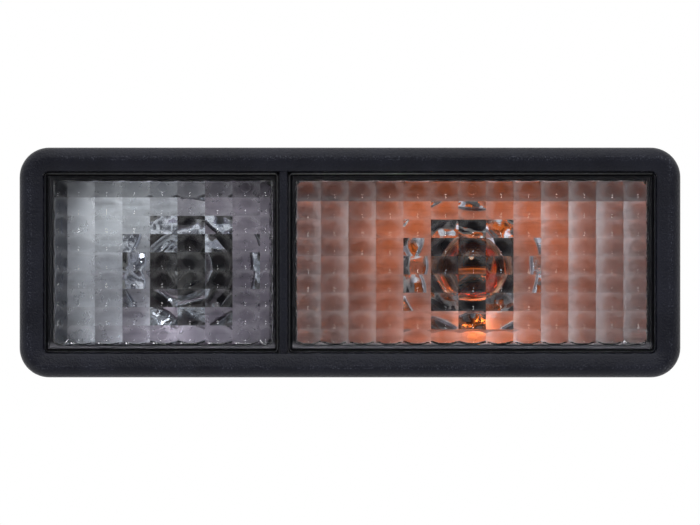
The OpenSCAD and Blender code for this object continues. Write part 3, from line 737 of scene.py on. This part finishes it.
plainLooks = {
    "moulding": {"color": (0.012, 0.012, 0.013), "pale": (0.022, 0.022, 0.024), "rough": 0.45, "metal": 0.0,
                 "grain": 500.0, "depth": 0.02, "bottomLight": (0.3, 0.29, 0.32)},
    "nylon": {"color": (0.02, 0.01, 0.011), "pale": (0.034, 0.018, 0.02), "rough": 0.4, "metal": 0.0,
              "grain": 700.0, "depth": 0.015},
    "rubber": {"color": (0.012, 0.012, 0.012), "pale": (0.03, 0.03, 0.03), "rough": 0.75, "metal": 0.0,
               "grain": 900.0, "depth": 0.03, "bottomLight": (0.34, 0.33, 0.36)},
    "foam": {"color": (0.018, 0.018, 0.018), "pale": (0.05, 0.05, 0.05), "rough": 0.9, "metal": 0.0,
             "grain": 1600.0, "depth": 0.12},
    "brass": {"color": (0.62, 0.47, 0.22), "pale": (0.75, 0.62, 0.36), "rough": 0.28, "metal": 1.0,
              "grain": 400.0, "depth": 0.004},
    "cap": {"color": (0.62, 0.58, 0.48), "pale": (0.76, 0.73, 0.66), "rough": 0.3, "metal": 1.0,
            "grain": 350.0, "depth": 0.004},
    "steel": {"color": (0.5, 0.5, 0.49), "pale": (0.68, 0.68, 0.64), "rough": 0.32, "metal": 1.0,
              "grain": 450.0, "depth": 0.006},
    "vitrite": {"color": (0.01, 0.01, 0.013), "pale": (0.02, 0.02, 0.024), "rough": 0.2, "metal": 0.0,
                "grain": 400.0, "depth": 0.004},
}


# painted light: the foot of the window, in front of the flange, is made paler as if lit from above; mm
bottomLightForm = {"below": (28.5, 30.5), "before": (2.5, 3.5)}


def makePlainMaterial(name, look):
    material, shader, surface = newMaterial(name)
    place = shader.place()
    fine = shader.noise(place, look["grain"] * 2.0, 4.0, 0.6)
    broad = shader.noise(place, look["grain"] * 0.2, 3.0, 0.55)
    color = shader.mixed(broad.ramp(0.3, 0.75), rgb(*look["color"]), rgb(*look["pale"]))
    # painted light: paler towards the foot of the window and its front
    if "bottomLight" in look:
        x, y, z = shader.axes(place)
        low = (-z).ramp(*[height * mm for height in bottomLightForm["below"]])
        front = (-y).ramp(*[out * mm for out in bottomLightForm["before"]])
        share = low * front * (0.5 + broad * 0.7)
        color = shader.mixed(share, color, rgb(*look["bottomLight"]))
    rough = look["rough"] + (fine - 0.5) * 0.2 + (broad - 0.5) * 0.12
    setSockets(shader, surface, color=color, rough=rough, metal=look["metal"],
               normal=shader.bump(fine, look["depth"] * mm))
    return material


plainMaterials = {name: makePlainMaterial(name, look) for name, look in plainLooks.items()}

finishes = {
    "housing": "moulding", "lens_seal": "rubber", "vent_cap": "rubber",
    "mounting_gasket": "foam", "fixing_studs": "steel",
}
bulbFinishes = {
    "holder": "nylon", "holder_seal": "rubber", "bulb_cap": "cap", "filament": "steel",
    "base_contact": "vitrite", "contacts": "brass", "terminals": "brass",
}
for side in sides:
    for part, finish in bulbFinishes.items():
        finishes[side + "_" + part] = finish

for name, finish in finishes.items():
    mesh = nodes[name].data
    mesh.materials.clear()
    mesh.materials.append(plainMaterials[finish])

# the foot that carries the wires of a filament is glass
for side in sides:
    mesh = nodes[side + "_filament"].data
    mesh.materials.append(clearGlass)
    for polygon in mesh.polygons:
        if polygon.center.y > bulbForm["footTop"] * mm:
            polygon.material_index = 1
print("finishes done")


# camera

viewForm = {
    "distance": 0.95,       # metres
    "pixelsPerMm": 2.75,
    "imageWidth": 700.0,    # pixels
    "lensPlane": 10.0,      # mm in front of the frame's origin, where the scale holds
    "sensor": 36.0,         # mm
}


def makeCamera(form):
    data = bpy.data.cameras.new("camera")
    camera = bpy.data.objects.new("camera", data)
    bpy.context.scene.collection.objects.link(camera)
    bpy.context.scene.camera = camera
    camera.location = (0.0, -form["distance"], 0.0)
    camera.rotation_euler = (math.radians(90), 0, 0)
    data.sensor_width = form["sensor"]
    reach = form["distance"] / mm - form["lensPlane"]
    data.lens = form["pixelsPerMm"] * form["sensor"] * reach / form["imageWidth"]
    data.dof.use_dof = False


makeCamera(viewForm)


# lamps, each square to the middle of the bezel; degrees above the view, metres and watts

lamps = {
    "dotLow": {"elevation": 20.0, "distance": 1.1, "size": 0.12, "power": 1.35, "color": (1.0, 1.0, 1.0)},
    "dotHigh": {"elevation": 32.5, "distance": 1.1, "size": 0.12, "power": 1.35, "color": (1.0, 1.0, 1.0)},
    "top": {"elevation": 72.0, "distance": 1.2, "size": 0.9, "power": 4.0, "color": (0.94, 0.96, 1.0)},
}


def makeLamp(name, own):
    data = bpy.data.lights.new(name, "AREA")
    data.shape = "DISK"
    data.size = own["size"]
    data.energy = own["power"]
    data.color = own["color"]
    lamp = bpy.data.objects.new(name, data)
    bpy.context.scene.collection.objects.link(lamp)
    up = math.radians(own["elevation"])
    way = Vector((0.0, -math.cos(up), math.sin(up)))
    lamp.location = way * own["distance"]
    lamp.rotation_mode = "QUATERNION"
    lamp.rotation_quaternion = way.to_track_quat("Z", "Y")


for name, own in lamps.items():
    makeLamp(name, own)


# the room that shows in the mirrors
# a pair of numbers gives the heights or depths of a direction between which it blends

roomLook = {
    "behindCamera": (0.05, 0.05, 0.06),
    "behindEdge": (0.74, 0.92),
    "walls": (0.42, 0.42, 0.46),
    "patch": (0.3, 0.29, 0.3),
    "patchEdge": (0.4, 0.7),
    "patchScale": 2.2,
    "beside": (1.0, 1.0, 1.0),      # the white ground the lamp stands against
    "besideEdge": (0.25, 0.6),
    "lowLight": (1.0, 1.0, 1.0),
    "lowTop": (0.05, 0.3),
    "lowFoot": (-0.85, -0.7),
    "lowFront": (0.3, 0.5),
    "floor": (0.16, 0.18, 0.22),
    "floorEdge": (0.75, 0.9),
    "ceiling": (0.93, 0.95, 1.0),
    "ceilingEdge": (0.42, 0.65),
}


def makeRoom(look):
    world = bpy.data.worlds.new("room")
    bpy.context.scene.world = world
    world.use_nodes = True
    shader = Shader(world.node_tree)
    background = world.node_tree.nodes["Background"]
    way = shader.node("ShaderNodeTexCoord", output="Generated")
    x, y, z = shader.axes(way)
    patches = shader.noise(way, look["patchScale"], 2.0, 0.5)
    varied = shader.mixed(patches.ramp(*look["patchEdge"]), rgb(*look["walls"]), rgb(*look["patch"]))
    low = (-z).ramp(*look["lowTop"]) * z.ramp(*look["lowFoot"]) * (-y).ramp(*look["lowFront"])
    lit = shader.mixed(low, varied, rgb(*look["lowLight"]))
    tall = shader.mixed(z.ramp(*look["ceilingEdge"]), lit, rgb(*look["ceiling"]))
    whole = shader.mixed((-z).ramp(*look["floorEdge"]), tall, rgb(*look["floor"]))
    dim = shader.mixed((-y).ramp(*look["behindEdge"]), whole, rgb(*look["behindCamera"]))
    room = shader.mixed((-y).ramp(*look["besideEdge"]), rgb(*look["beside"]), dim)
    seen = shader.node("ShaderNodeLightPath", output="Is Camera Ray")
    color = shader.mixed(seen, room, rgb(1.0, 1.0, 1.0))
    shader.plug(color, background.inputs["Color"])
    background.inputs["Strength"].default_value = 1.0


makeRoom(roomLook)
bpy.context.scene.view_settings.view_transform = "Standard"
print("stage done")
